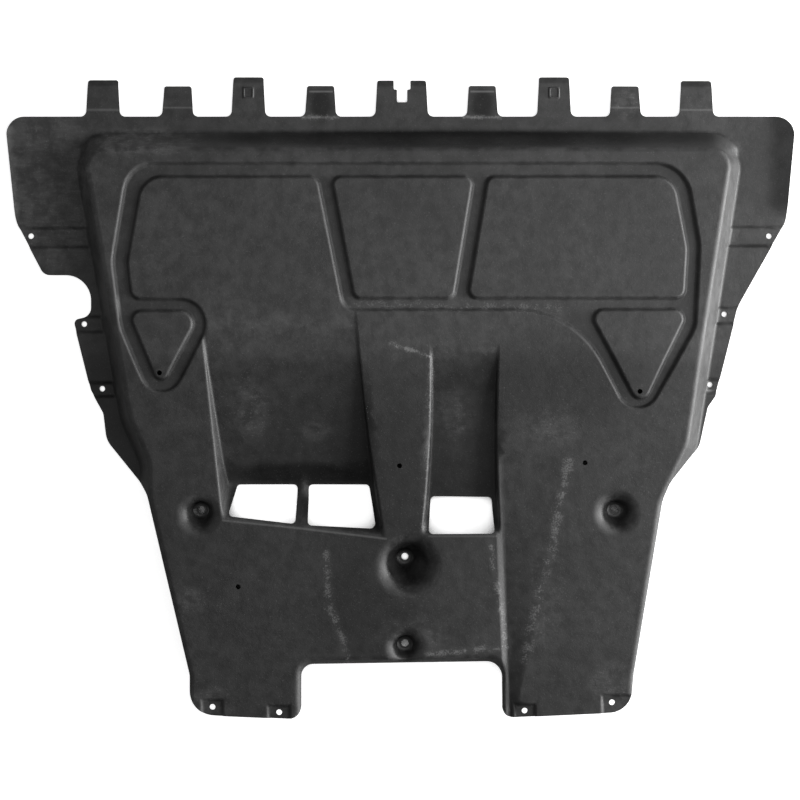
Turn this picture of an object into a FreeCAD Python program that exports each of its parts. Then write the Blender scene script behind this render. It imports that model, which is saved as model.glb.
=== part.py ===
"""Engine splash shield: a one-piece formed plastic undertray, laid down road side up.

Frame: X across the car, +Y towards the front edge with the tabs, +Z out of the road side.
The lowest surfaces, which are the screw lands and the ends of the ducts, lie at Z = 0.

The sheet is made the way its tool makes it. A road form carries the shape of the side that
shows, an engine form carries the same shape one wall lower, and the sheet is what lies between
them, trimmed to its outline and punched.
"""

import FreeCAD
import Part
import Sketcher

import math
import os

NODE = "splash_shield"

# Driving sizes, in millimetres and degrees
SIZES = {
    "wall": 3.0,
    "flange_rise": 4.0,
    "body_rise": 33.0,
    "body_draft": 26.0,
    "front_draft": 35.0,
    "rear_fall": 1.0,
    "bend_place": 38.0,
    "groove_depth": 5.0,
    "groove_draft": 35.0,
    "land_draft": 40.0,
    "foot_land_depth": 2.5,
    "front_edge": 341.0,
    "tall_tab_width": 36.5,
    "short_tab_width": 33.0,
    "centre_tab_width": 59.5,
    "tab_flare": 5.0,
    "tab_root_radius": 7.0,
    "tab_tip_cut": 1.8,
    "tab_root_inset": 3.0,
    "tab_slope_run": 33.0,
    "tab_drop": 4.0,
    "tip_bend_run": 7.0,
    "clip_frame": 14.0,
    "clip_window": 8.0,
    "clip_frame_height": 1.2,
    "clip_frame_place": 29.0,
    "screw_hole": 7.0,
    "bolt_hole": 9.0,
    "drain_hole": 6.0,
    "boss_seat": 19.5,
    "side_boss_depth": 20.0,
    "rear_boss_depth": 18.0,
    "left_duct_outer_draft": 12.0,
    "left_duct_inner_draft": 6.0,
    "left_duct_rear_draft": 47.0,
    "right_duct_depth": 30.0,
    "right_duct_side_draft": 5.0,
    "right_duct_rear_draft": 45.0,
    "valley_front_depth": 2.0,
    "valley_rear_depth": 5.0,
    "right_lip_angle": 14.0,
    "left_lip_angle": 32.0,
}

doc = FreeCAD.newDocument("undertray")
sheet = doc.addObject("Spreadsheet::Sheet", "sizes")
for row, (word, value) in enumerate(SIZES.items(), start=1):
    sheet.set(f"A{row}", word)
    sheet.set(f"B{row}", str(value))
    sheet.setAlias(f"B{row}", word)
doc.recompute()


def size(word):
    """Value of one driving size, as the sheet holds it."""
    return float(sheet.get(word))


def cell(word):
    """Reference to one driving size, for an expression."""
    return f"<<sizes>>.{word}"


LAND_TOP = size("wall")
FLANGE_TOP = LAND_TOP + size("flange_rise")
BODY_TOP = FLANGE_TOP + size("body_rise")
LEFT_DUCT_DEPTH = size("flange_rise") + size("body_rise")
SPARE = 2.0
BASE = -12.0
BLANK = 620.0

# Outlines are corners (x, y, radius) in clockwise order, on the road side. A radius of 0 is a
# sharp corner, and one below 0 is a flat that takes that much off both sides. A fourth number is
# the draft of the side that starts at that corner, where it has one of its own.
BODY = [
    (-382, 298.5, 22, size("front_draft")),
    (401, 298.5, 22),
    (346, -58, 45),
    (313, -125, 60),
    (278, -336, 36),
    (273, -430, 0),
    (131, -430, 0),
    (130, -313, 24),
    (-125.5, -316.5, 20),
    (-125.5, -430, 0),
    (-250, -430, 0),
    (-250, -337, 24),
    (-301.5, -119, 60),
    (-301, -80, 45),
    (-326, -24, 45),
]
TRIM_LEFT = [
    (-119.5, -325, 14),
    (-119.5, -390.5, 15),
    (-222, -386, 30),
    (-254, -383, 30),
    (-254, -337, 24),
    (-305.5, -119, 30),
    (-358, -54, 30),
    (-362, -21, 12),
    (-377.5, 7, 12),
    (-399, 93, 6),
    (-377, 98, 12),
    (-377, 147.5, 31),
    (-434.5, 147.5, 12),
    (-468.5, 212.5, 42),
    (-482, 341, 21),
]
TRIM_RIGHT = [
    (482, 341, 23),
    (470.5, 212.5, 36),
    (413, 111, 48),
    (385, 0, 10),
    (375.5, -13.5, 12),
    (365, -62, 24),
    (326, -104, 34),
    (317, -125.5, 46),
    (282, -336, 36),
    (278, -381.5, 28),
    (180.5, -386, 30),
    (124, -388.5, 12),
    (123.5, -321, 19),
]
GROOVE = [
    (-328.5, 282, 38),
    (344.5, 282, 45),
    (362, 182, 72),
    (357, 83, 42),
    (285.5, -48, 27.5),
    (210.5, 102.5, 116),
    (-69, 102.5, 18),
    (-101, 262.5, 9.5),
    (-309, 262.5, 27.5),
    (-327, 161.5, 48),
    (-322, 118.5, 11),
    (-213, 118.5, 32),
    (-289.5, -34, 27),
    (-338, 82, 72),
    (-348, 163.5, 72),
]
PANELS = {
    "middle_panel": [(-81, 262.5, 8.5), (87, 262.5, 8.5), (63.5, 119.5, 8.5), (-54, 119.5, 8.5)],
    "right_panel": [
        (107, 262.5, 8.5),
        (328, 262.5, 25),
        (344.5, 178, 48),
        (341, 119.5, 9.5),
        (83, 119.5, 8.5),
    ],
    "left_gusset": [(-326, 101, 9.5), (-242, 101, 14), (-288.5, 12, 7.5)],
    "right_gusset": [(228.5, 102.5, 10), (346, 102.5, 10), (290, -12, 9.5)],
}

# Ducts are recessed ramps with a raised lip behind. A ramp is (y, share of the full depth).
LEFT_DUCT = [
    (-54.5, 103, 0, size("left_duct_inner_draft")),
    (-42, -29, 110, size("left_duct_inner_draft")),
    (-19, -172, 0, size("left_duct_rear_draft")),
    (-214, -150.5, 0, size("left_duct_outer_draft")),
    (-240.5, 103, 0, 0),
]
LEFT_RAMP = [(90, 0), (40, 0.13), (-81, 0.72), (-107.5, 1)]
RIGHT_DUCT = [
    (118, 60, 0, size("right_duct_side_draft")),
    (115, -65, 90, size("right_duct_side_draft")),
    (121.5, -168.5, 0, size("right_duct_rear_draft")),
    (26.5, -168.5, 0, size("right_duct_side_draft")),
    (37.5, -56.5, 70, size("right_duct_side_draft")),
    (37.5, 60, 0, 0),
]
RIGHT_RAMP = [(55, 0), (5, 0.47), (-121, 1)]
LOUVRES = [
    [(-198.5, -108, -3), (-125, -108, -3), (-126.5, -154.5, -3), (-208, -145, -3)],
    [(-111.5, -108, -3), (-38, -108, -3), (-29, -160.5, -3.5), (-111.5, -156, -3)],
    [(37.5, -122, -3), (111.5, -123, -3), (114.5, -166, -3), (34.5, -166.5, -3)],
]

# Funnels down to the bolt seats: mouth x, y and radius, seat x and y, then the depth. The
# centre one goes down to the level of the screw lands.
BOSSES = {
    "left_boss": (-242.5, -143.5, 20.0, -241.0, -138.0, size("side_boss_depth")),
    "right_boss": (261.0, -141.5, 22.0, 261.0, -138.0, size("side_boss_depth")),
    "centre_boss": (10.0, -205.5, 34.0, 6.0, -196.0, None),
    "rear_boss": (7.0, -304.5, 18.5, 6.0, -300.0, size("rear_boss_depth")),
}
FUNNEL_PAST = 6.0

# Valley that runs back beside the right duct: x of its left edge, its bottom and its right edge
VALLEY_FRONT = (-75.0, 112.0, 121.0, 204.0)
VALLEY_REAR = (-335.0, 124.0, 131.0, 149.0)

# Upturned edges of the flanges ahead of the front lands: y, then x of the fold and of a point past
# the trimmed edge. They run level up to the second station and die away by the third.
LIPS = {
    "right_lip": [(352, 455, 490), (236, 453, 488), (210, 451, 486)],
    "left_lip": [(352, -478.5, -490), (228, -465.5, -477), (209, -463.5, -475)],
}

# Screw lands in the side flanges: lowest and highest x and y, then the hole
FLANGE_LANDS = {
    "left_land_1": (-500, -370, 180, 206.5, -451, 195.5),
    "left_land_2": (-440, -345, 76.5, 98.5, -386, 88),
    "left_land_3": (-440, -330, -2, 18, -364, 9),
    "right_land_1": (390, 500, 181.5, 208, 451, 195.5),
    "right_land_2": (370, 440, 87, 109.5, 396.5, 100),
    "right_land_3": (350, 420, 2, 22, 379, 14),
}
FOOT_LANDS = {
    "foot_land_1": (-240, -213, -420, -366, -226.5, -375.5),
    "foot_land_2": (-160, -132, -420, -373, -146, -382),
    "foot_land_3": (137, 164, -420, -371, 150.5, -380),
    "foot_land_4": (243, 300, -420, -360, 256, -370),
}
DRAINS = [(-289.5, 28), (289, 5.5), (-0.5, -84), (-195, -230), (223, -80.5)]

# Front tabs: centre x, reach past the front edge and kind
TABS = [
    (-362.5, 45.0, "tall"),
    (-271.5, 37.5, "short"),
    (-185.0, 48.5, "tall"),
    (-97.0, 38.0, "short"),
    (2.0, 44.5, "centre"),
    (100.5, 38.0, "short"),
    (188.0, 48.5, "tall"),
    (275.0, 37.5, "short"),
    (361.5, 44.0, "tall"),
]
CLIP_TABS = (2, 6)
SLOT_CENTRE = 2.5
SLOT_STEPS = [(20.5, 11.5), (12.5, 27.0)]


def shifted(outline, moves):
    """Outline with each side moved outwards by its own amount, and each radius kept true."""
    lines = []
    for index, start in enumerate(outline):
        end = outline[(index + 1) % len(outline)]
        length = math.hypot(end[0] - start[0], end[1] - start[1])
        ahead = ((end[0] - start[0]) / length, (end[1] - start[1]) / length)
        move = moves[index]
        lines.append((start[0] - ahead[1] * move, start[1] + ahead[0] * move, ahead))
    corners = []
    for index, corner in enumerate(outline):
        x_in, y_in, before = lines[index - 1]
        x_out, y_out, after = lines[index]
        turn = before[0] * after[1] - before[1] * after[0]
        along = ((x_out - x_in) * after[1] - (y_out - y_in) * after[0]) / turn
        move = (moves[index - 1] + moves[index]) / 2
        radius = max(corner[2] + (move if turn < 0 else -move), 0.5) if corner[2] else 0
        corners.append((x_in + before[0] * along, y_in + before[1] * along, radius))
    return corners


def rounded(outline):
    """Lines with a tangent arc, or a flat, at the corners of an outline."""
    arcs = []
    for index, corner in enumerate(outline):
        here = FreeCAD.Vector(corner[0], corner[1], 0)
        back = FreeCAD.Vector(*outline[index - 1][:2], 0) - here
        ahead = FreeCAD.Vector(*outline[(index + 1) % len(outline)][:2], 0) - here
        back.normalize()
        ahead.normalize()
        half = back.getAngle(ahead) / 2
        inward = (back + ahead).normalize()
        centre = here + inward * (corner[2] / math.sin(half))
        reach = corner[2] / math.tan(half) if corner[2] > 0 else -corner[2]
        arcs.append((here + back * reach, centre - inward * corner[2], here + ahead * reach))
    curves = []
    for index, (start, middle, end) in enumerate(arcs):
        if outline[index][2] > 0:
            curves.append(Part.Arc(start, middle, end))
        elif outline[index][2] < 0:
            curves.append(Part.LineSegment(start, end))
        curves.append(Part.LineSegment(end, arcs[(index + 1) % len(arcs)][0]))
    return curves


def straight(points):
    """Straight sides through a loop of (x, y) points."""
    loop = [FreeCAD.Vector(x, y, 0) for x, y in points]
    return [Part.LineSegment(a, b) for a, b in zip(loop, loop[1:] + loop[:1])]


def rectangle(x_low, x_high, y_low, y_high):
    """Outline of a rectangle with sharp corners."""
    return [(x_low, y_high, 0), (x_high, y_high, 0), (x_high, y_low, 0), (x_low, y_low, 0)]


def road_level(y):
    """Height of the body's road side, which falls a little behind the bend."""
    return BODY_TOP - max(size("bend_place") - y, 0) * math.tan(math.radians(size("rear_fall")))


def skin_shift(draft, inset):
    """Sideways move of a drafted wall's top edge, from the road side to a side one inset lower."""
    lean = math.radians(draft)
    return inset * (1 - math.sin(lean)) / math.cos(lean)


def add_sketch(body, name, curves, height=0.0, role="XY_Plane"):
    """Sketch on one of the body's own planes, lifted along that plane's normal."""
    plane = [item for item in body.Origin.OriginFeatures if item.Role == role][0]
    sketch = body.newObject("Sketcher::SketchObject", name)
    sketch.AttachmentSupport = [(plane, "")]
    sketch.MapMode = "FlatFace"
    sketch.AttachmentOffset = FreeCAD.Placement(FreeCAD.Vector(0, 0, height), FreeCAD.Rotation())
    sketch.addGeometry(curves, False)
    return sketch


def add_circle(sketch, x, y, word, share=0.5):
    """Circle held by dimensions, with its radius bound to a driving size."""
    circle = sketch.addGeometry(Part.Circle(FreeCAD.Vector(x, y, 0), FreeCAD.Vector(0, 0, 1), 1))
    sketch.addConstraint(Sketcher.Constraint("DistanceX", -1, 1, circle, 3, x))
    sketch.addConstraint(Sketcher.Constraint("DistanceY", -1, 1, circle, 3, y))
    radius = sketch.addConstraint(Sketcher.Constraint("Radius", circle, 1))
    sketch.setExpression(f"Constraints[{radius}]", f"{cell(word)} * {share}")


def add_loft(body, name, kind, low, high):
    """Ruled loft between two sketches, added to the body or taken from it."""
    loft = body.newObject(f"PartDesign::{kind}Loft", name)
    loft.Profile = low
    loft.Sections = [high]
    loft.Ruled = True
    loft.Refine = False
    return loft


def add_step(body, name, kind, outline, draft, level, inset, top, bottom, grows=1):
    """Drafted wall round an outline given at one level, which grows or shrinks downwards."""
    drafts = [corner[3] if len(corner) > 3 else draft for corner in outline]
    sketches = []
    for place, height in (("low", bottom), ("high", top)):
        below = level - inset - height
        moves = [
            grows * (below * math.tan(math.radians(angle)) - skin_shift(angle, inset))
            for angle in drafts
        ]
        curves = rounded(shifted(outline, moves))
        sketches.append(add_sketch(body, f"{name}_{place}", curves, height))
    return add_loft(body, name, kind, *sketches)


def add_recess(body, name, outline, draft, level, depth, inset):
    """Drafted recess below a level, cut from a little above it."""
    bottom = level - inset - depth
    top = level - inset + SPARE
    return add_step(body, name, "Subtractive", outline, draft, level, inset, top, bottom, -1)


def add_profile_cut(body, name, points, x, width):
    """Cut of a side view, given as (y, z) points, to both sides of one x."""
    profile = add_sketch(body, f"{name}_profile", straight(points), x, "YZ_Plane")
    cut = body.newObject("PartDesign::Pocket", name)
    cut.Profile = profile
    cut.Length = width
    cut.Midplane = True
    cut.Refine = False
    return cut


def add_flange(body, name, inset):
    """Flat blank at flange level, with the screw lands pressed into it."""
    corners = [(-BLANK, -BLANK), (BLANK, -BLANK), (BLANK, BLANK), (-BLANK, BLANK)]
    flange = body.newObject("PartDesign::Pad", f"{name}_flange")
    flange.Profile = add_sketch(body, f"{name}_blank", straight(corners), BASE)
    flange.setExpression("Length", f"{cell('wall')} + {cell('flange_rise')} + {-BASE - inset}")
    for land, (x_low, x_high, y_low, y_high, _, _) in FLANGE_LANDS.items():
        outline = rectangle(x_low, x_high, y_low, y_high)
        add_recess(body, f"{name}_{land}", outline, size("land_draft"), FLANGE_TOP,
                   size("flange_rise"), inset)


def add_tab_bends(body, name, inset):
    """Short tabs slope down to a lower flat, and the tips of the others bend down."""
    top = FLANGE_TOP - inset
    low = top - size("tab_drop")
    for number, (x, reach, kind) in enumerate(TABS, start=1):
        tip = size("front_edge") + reach
        if kind == "short":
            start = size("front_edge") - size("tab_root_inset")
            end = start + size("tab_slope_run")
        else:
            start = tip - size("tip_bend_run")
            end = tip
        past = tip + SPARE
        points = [(start, top), (end, low), (past, low), (past, top + SPARE), (start, top + SPARE)]
        width = size(f"{kind}_tab_width") + size("tab_flare") + SPARE
        add_profile_cut(body, f"{name}_tab_bend_{number}", points, x, width)


def add_lips(body, name, inset):
    """Side edges of the flange turn up ahead of the front lands."""
    top = FLANGE_TOP - inset
    for lip, stations in LIPS.items():
        slope = math.tan(math.radians(size(f"{lip}_angle")))
        sketches = []
        for number, (y, fold, past) in enumerate(stations):
            rise = abs(past - fold) * slope if number < 2 else -SPARE / 4
            points = [(fold, top - SPARE), (fold, top), (past, top + rise), (past, top - SPARE)]
            sketches.append(add_sketch(body, f"{name}_{lip}_{number}", straight(points), -y,
                                       "XZ_Plane"))
        loft = add_loft(body, f"{name}_{lip}", "Additive", sketches[0], sketches[1])
        loft.Sections = sketches[1:]


def add_body(body, name, inset):
    """Raised body with its groove and panels, and the slight fall behind the bend."""
    top = BODY_TOP - inset
    add_step(body, f"{name}_body", "Additive", BODY, size("body_draft"), BODY_TOP, inset, top,
             -SPARE)
    add_recess(body, f"{name}_groove", GROOVE, size("groove_draft"), BODY_TOP,
               size("groove_depth"), inset)
    for panel, outline in PANELS.items():
        add_step(body, f"{name}_{panel}", "Additive", outline, size("groove_draft"), BODY_TOP,
                 inset, top, top - size("groove_depth") - SPARE)
    bend = size("bend_place")
    points = [(bend, top), (-BLANK, road_level(-BLANK) - inset), (-BLANK, top + SPARE),
              (bend, top + SPARE)]
    add_profile_cut(body, f"{name}_fall", points, 0, 2 * BLANK)


def add_valley(body, name, inset):
    """Shallow valley beside the right duct, between two side views of it."""
    sketches = []
    for place, station, depth in (
        ("front", VALLEY_FRONT, size("valley_front_depth")),
        ("rear", VALLEY_REAR, size("valley_rear_depth")),
    ):
        y, left, bottom, right = station
        level = road_level(y) - inset
        points = [(left, level), (bottom, level - depth), (right, level), (right, level + SPARE),
                  (left, level + SPARE)]
        curves = straight(points)
        sketches.append(add_sketch(body, f"{name}_valley_{place}", curves, -y, "XZ_Plane"))
    add_loft(body, f"{name}_valley", "Subtractive", *sketches)


def add_foot_lands(body, name, inset):
    """Shallow screw lands that open at the rear edge of the feet."""
    for land, (x_low, x_high, y_low, y_high, _, hole_y) in FOOT_LANDS.items():
        outline = rectangle(x_low, x_high, y_low, y_high)
        add_recess(body, f"{name}_{land}", outline, size("land_draft"), road_level(hole_y),
                   size("foot_land_depth"), inset)


def make_duct(name, outline, ramp, depth, inset):
    """Space inside one duct: drafted walls down to its floor, less what lies under its ramp."""
    body = doc.addObject("PartDesign::Body", name)
    top = BODY_TOP - inset
    floor = top - depth
    add_step(body, f"{name}_walls", "Additive", outline, 0, BODY_TOP, inset, top + SPARE, floor,
             -1)
    front = (BLANK, top)
    slope = [(y, top - depth * share) for y, share in ramp]
    under = [(slope[-1][0], floor - SPARE), (BLANK, floor - SPARE)]
    add_profile_cut(body, f"{name}_ramp", [front, *slope, *under], 0, 2 * BLANK)
    return body


def make_funnel(name, boss, inset):
    """Space inside one funnel: a cone that leans from its mouth to a flat bolt seat."""
    x, y, radius, seat_x, seat_y, depth = boss
    mouth_level = road_level(seat_y)
    if depth is None:
        depth = mouth_level - LAND_TOP
    mouth = FreeCAD.Vector(x, y, mouth_level - inset)
    seat = FreeCAD.Vector(seat_x, seat_y, mouth_level - depth - inset)
    axis = mouth - seat
    widening = (radius - size("boss_seat") / 2) / axis.Length
    grow = skin_shift(math.degrees(math.atan(widening)), inset)
    ends = axis.normalize() * FUNNEL_PAST
    cone = doc.addObject("Part::Cone", f"{name}_cone")
    seat_radius = f"{cell('boss_seat')} / 2 + {grow}"
    cone.setExpression("Radius1", f"{seat_radius} - {widening * FUNNEL_PAST}")
    cone.Radius2 = radius + grow + widening * FUNNEL_PAST
    cone.Height = (mouth - seat).Length + 2 * FUNNEL_PAST
    cone.Placement = FreeCAD.Placement(seat - ends, FreeCAD.Rotation(FreeCAD.Vector(0, 0, 1), axis))
    above = doc.addObject("Part::Box", f"{name}_above_seat")
    above.Length = 4 * radius
    above.Width = 4 * radius
    above.Height = 2 * depth
    above.Placement.Base = seat - FreeCAD.Vector(2 * radius, 2 * radius, 0)
    funnel = doc.addObject("Part::Common", name)
    funnel.Base = cone
    funnel.Tool = above
    return funnel


def make_form(name, inset):
    """One side of the tool: the road form has no inset, the engine form one wall."""
    body = doc.addObject("PartDesign::Body", f"{name}_form")
    add_flange(body, name, inset)
    add_lips(body, name, inset)
    add_tab_bends(body, name, inset)
    add_body(body, name, inset)
    add_valley(body, name, inset)
    add_foot_lands(body, name, inset)
    left = make_duct(f"{name}_left_duct", LEFT_DUCT, LEFT_RAMP, LEFT_DUCT_DEPTH, inset)
    right = make_duct(f"{name}_right_duct", RIGHT_DUCT, RIGHT_RAMP, size("right_duct_depth"), inset)
    funnels = [make_funnel(f"{name}_{boss}", BOSSES[boss], inset) for boss in BOSSES]
    recesses = doc.addObject("Part::MultiFuse", f"{name}_recesses")
    recesses.Shapes = [left, right, *funnels]
    form = doc.addObject("Part::Cut", f"{name}_side")
    form.Base = body
    form.Tool = recesses
    return form


def tab_corners():
    """Corners of the front tabs from left to right, with the slot in the centre tab."""
    front = size("front_edge")
    corners = []
    for x, reach, kind in TABS:
        half = size(f"{kind}_tab_width") / 2
        root = half + size("tab_flare") / 2
        tip = front + reach
        corners.append((x - root, front, size("tab_root_radius")))
        corners.append((x - half, tip, -size("tab_tip_cut")))
        if kind == "centre":
            levels = [tip] + [tip - depth for _, depth in SLOT_STEPS]
            left = []
            for number, (width, _) in enumerate(SLOT_STEPS):
                left.append((SLOT_CENTRE - width / 2, levels[number], 0))
                left.append((SLOT_CENTRE - width / 2, levels[number + 1], 0))
            corners += left
            corners += [(2 * SLOT_CENTRE - x_left, y, r) for x_left, y, r in reversed(left)]
        corners.append((x + half, tip, -size("tab_tip_cut")))
        corners.append((x + root, front, size("tab_root_radius")))
    return corners


def make_trim():
    """Tall prism of the trimmed outline."""
    body = doc.addObject("PartDesign::Body", "trim")
    pad = body.newObject("PartDesign::Pad", "trim_prism")
    pad.Profile = add_sketch(body, "trim_outline", rounded(TRIM_LEFT + tab_corners() + TRIM_RIGHT),
                             BASE / 2)
    pad.Length = BODY_TOP - BASE
    return body


def make_sheet():
    """Wall between the road side and the engine side, trimmed to its outline."""
    wall = doc.addObject("Part::Cut", "formed_sheet")
    wall.Base = make_form("road", 0)
    wall.Tool = make_form("engine", size("wall"))
    trimmed = doc.addObject("Part::Common", "trimmed_sheet")
    trimmed.Base = wall
    trimmed.Tool = make_trim()
    return trimmed


def punch(body, name, sketch):
    """Cut straight through the sheet."""
    cut = body.newObject("PartDesign::Pocket", name)
    cut.Profile = sketch
    cut.Type = "ThroughAll"
    cut.Midplane = True
    return cut


def make_shield():
    """The trimmed sheet with its clip frames, louvre openings and holes."""
    blank = make_sheet()
    doc.recompute()
    body = doc.addObject("PartDesign::Body", NODE)
    body.BaseFeature = blank
    frame_curves = []
    for number in CLIP_TABS:
        x = TABS[number][0]
        y = size("front_edge") + size("clip_frame_place")
        for word in ("clip_frame", "clip_window"):
            half = size(word) / 2
            frame_curves += rounded(rectangle(x - half, x + half, y - half, y + half))
    frames = body.newObject("PartDesign::Pad", "clip_frames")
    frames.Profile = add_sketch(body, "clip_frame_edges", frame_curves, FLANGE_TOP - SPARE / 2)
    frames.setExpression("Length", f"{cell('clip_frame_height')} + {SPARE / 2}")
    openings = []
    for outline in LOUVRES:
        openings += rounded(outline)
    punch(body, "louvre_openings", add_sketch(body, "louvre_edges", openings))
    holes = {
        "bolt_hole": [boss[3:5] for boss in BOSSES.values()],
        "screw_hole": [land[4:] for land in (*FLANGE_LANDS.values(), *FOOT_LANDS.values())],
        "drain_hole": DRAINS,
    }
    for word, places in holes.items():
        sketch = add_sketch(body, f"{word}_centres", [])
        for x, y in places:
            add_circle(sketch, x, y, word)
        punch(body, f"{word}s", sketch)
    return body


shield = make_shield()
shield.Label = NODE
shield.Placement = FreeCAD.Placement()
doc.recompute()

failed = [item.Name for item in doc.Objects if {"Invalid", "Error"} & set(item.State)]
if failed:
    raise RuntimeError(f"these objects failed: {failed}")
shape = shield.Shape
if shape.isNull() or not shape.isValid() or len(shape.Solids) != 1:
    raise RuntimeError(f"{NODE} is not one valid solid")

os.makedirs("parts", exist_ok=True)
shape.exportStep(os.path.join("parts", f"{NODE}.step"))
box = shape.optimalBoundingBox(False)
print(f"{NODE}: {box.XLength:.1f} x {box.YLength:.1f} x {box.ZLength:.1f} mm, "
      f"centre {box.Center.x:.1f}, {box.Center.y:.1f}, lowest {box.ZMin:.2f}, "
      f"volume {shape.Volume / 1000:.0f} cm3, {len(shape.Faces)} faces")
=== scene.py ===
import math

import bpy
import numpy as np
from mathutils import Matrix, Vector
from mathutils.geometry import delaunay_2d_cdt
from mathutils.kdtree import KDTree


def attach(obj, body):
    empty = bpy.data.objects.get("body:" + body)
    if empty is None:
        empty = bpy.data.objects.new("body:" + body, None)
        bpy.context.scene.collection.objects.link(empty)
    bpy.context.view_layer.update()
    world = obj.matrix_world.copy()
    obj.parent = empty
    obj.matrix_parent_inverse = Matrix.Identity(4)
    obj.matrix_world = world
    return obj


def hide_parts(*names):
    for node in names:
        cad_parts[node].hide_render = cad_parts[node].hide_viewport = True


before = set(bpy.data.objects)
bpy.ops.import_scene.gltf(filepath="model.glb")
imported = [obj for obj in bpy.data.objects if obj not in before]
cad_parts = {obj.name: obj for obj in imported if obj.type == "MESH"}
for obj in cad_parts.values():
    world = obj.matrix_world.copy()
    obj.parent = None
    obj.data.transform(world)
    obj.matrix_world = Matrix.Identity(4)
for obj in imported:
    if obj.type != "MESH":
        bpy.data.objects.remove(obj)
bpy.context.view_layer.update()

# Sizes of the shield in millimetres and degrees, in the frame's own axes
MM = 0.001
WALL = 3.0
LAND = 3.0
FLANGE = 7.0
CREST = 40.0
BODY_DRAFT = 26.0
FRONT_DRAFT = 35.0
FALL = [(400, 0), (38, 0), (8, 1.2), (-400, 7.1)]
GROOVE_DEPTH = 5.0
GROOVE_DRAFT = 35.0
LAND_DRAFT = 40.0
LAND_CORNER = 3.0
FOOT_LAND_DEPTH = 2.5
FRONT_EDGE = 341.0
VALLEY_FRONT = (-75.0, 112.0, 121.0, 204.0, 2.0)
VALLEY_REAR = (-335.0, 124.0, 131.0, 149.0, 5.0)
BOSS_SEAT = 9.75
FRONT_SLOPE = 292.0
FRONT_SLOPE_RUN = 12.0

# Rib on the bar between the left louvres
RIB_X = -118.3
RIB_HALF = 7.0
RIB_START = -98.0
RIB_RUN = 14.0
RIB_HEIGHT = 4.0

# Radii of the folds
CREST_FOLD = 5.0
FOOT_FOLD = 3.0
GROOVE_FOLD = 1.6
DUCT_FOLD = 3.0
DUCT_BULGE = 8.0
DUCT_CORNER = 6.0
SEAT_FOLD = 3.0
FALL_FOLD = 9.0
LIP_FOLD = 1.5
FUNNEL_FOLD = 11.0
LAND_FOLD = 1.6
TAB_FOLD = 0.5
EDGE = 0.5

# Outlines are corners (x, y, radius) in clockwise order
BODY = [
    (-382, 298.5, 22), (401, 298.5, 22), (346, -58, 45), (313, -125, 60), (278, -336, 36),
    (273, -430, 0), (131, -430, 0), (130, -313, 24), (-125.5, -316.5, 20), (-125.5, -430, 0),
    (-250, -430, 0), (-250, -337, 24), (-301.5, -119, 60), (-301, -80, 45), (-326, -24, 45),
]
TRIM_LEFT = [
    (-119.5, -325, 14), (-119.5, -390.5, 15), (-222, -386, 30), (-254, -383, 30),
    (-254, -337, 24), (-305.5, -119, 30), (-358, -54, 30), (-362, -21, 12), (-377.5, 7, 12),
    (-399, 93, 6), (-377, 98, 12), (-377, 147.5, 31), (-434.5, 147.5, 12),
    (-468.5, 212.5, 42), (-482, 341, 21),
]
TRIM_RIGHT = [
    (482, 341, 23), (470.5, 212.5, 36), (413, 111, 48), (385, 0, 10), (375.5, -13.5, 12),
    (365, -62, 24), (326, -104, 34), (317, -125.5, 46), (282, -336, 36), (278, -381.5, 28),
    (180.5, -386, 30), (124, -388.5, 12), (123.5, -321, 19),
]
GROOVE = [
    (-328.5, 282, 38), (344.5, 282, 45), (362, 182, 72), (357, 83, 42), (285.5, -48, 27.5),
    (210.5, 102.5, 116), (-69, 102.5, 18), (-101, 262.5, 9.5), (-309, 262.5, 27.5),
    (-327, 161.5, 48), (-322, 118.5, 11), (-213, 118.5, 32), (-289.5, -34, 27),
    (-338, 82, 72), (-348, 163.5, 72),
]
PANELS = [
    [(-81, 262.5, 8.5), (87, 262.5, 8.5), (63.5, 119.5, 8.5), (-54, 119.5, 8.5)],
    [(107, 262.5, 8.5), (328, 262.5, 25), (344.5, 178, 48), (341, 119.5, 9.5), (83, 119.5, 8.5)],
    [(-326, 101, 9.5), (-242, 101, 14), (-288.5, 12, 7.5)],
    [(228.5, 102.5, 10), (346, 102.5, 10), (290, -12, 9.5)],
]

# Ducts: sides as pairs of points with a draft, in groups that bulge outwards, then the ramp
LEFT_DUCT = {
    "walls": [
        [(-54.5, 103, -42, -29, 6), (-42, -29, -19, -172, 6)],
        [(-19, -172, -214, -150.5, 47)],
        [(-214, -150.5, -240.5, 103, 12)],
    ],
    "outline": [(-54.5, 103, 0), (-42, -29, 110), (-19, -172, 0), (-214, -150.5, 0),
                (-240.5, 103, 0)],
    "ramp": [(420, -31.7), (90, 0), (40, 4.8), (-81, 26.6), (-104, 37), (-200, 37)],
}
RIGHT_DUCT = {
    "walls": [
        [(118, 60, 115, -65, 5), (115, -65, 121.5, -168.5, 5)],
        [(121.5, -168.5, 26.5, -168.5, 45)],
        [(26.5, -168.5, 37.5, -56.5, 5), (37.5, -56.5, 37.5, 60, 5)],
    ],
    "outline": [(118, 60, 0), (115, -65, 90), (121.5, -168.5, 0), (26.5, -168.5, 0),
                (37.5, -56.5, 70), (37.5, 60, 0)],
    "ramp": [(420, -102.9), (55, 0), (5, 14.1), (-121, 30), (-200, 30)],
}
LOUVRES = [
    [(-198.5, -108, 5), (-125, -108, 5), (-126.5, -154.5, 5), (-208, -145, 5)],
    [(-111.5, -108, 5), (-38, -108, 5), (-29, -160.5, 6), (-111.5, -156, 5)],
    [(37.5, -122, 5), (111.5, -123, 5), (114.5, -166, 5), (34.5, -166.5, 5)],
]

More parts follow.
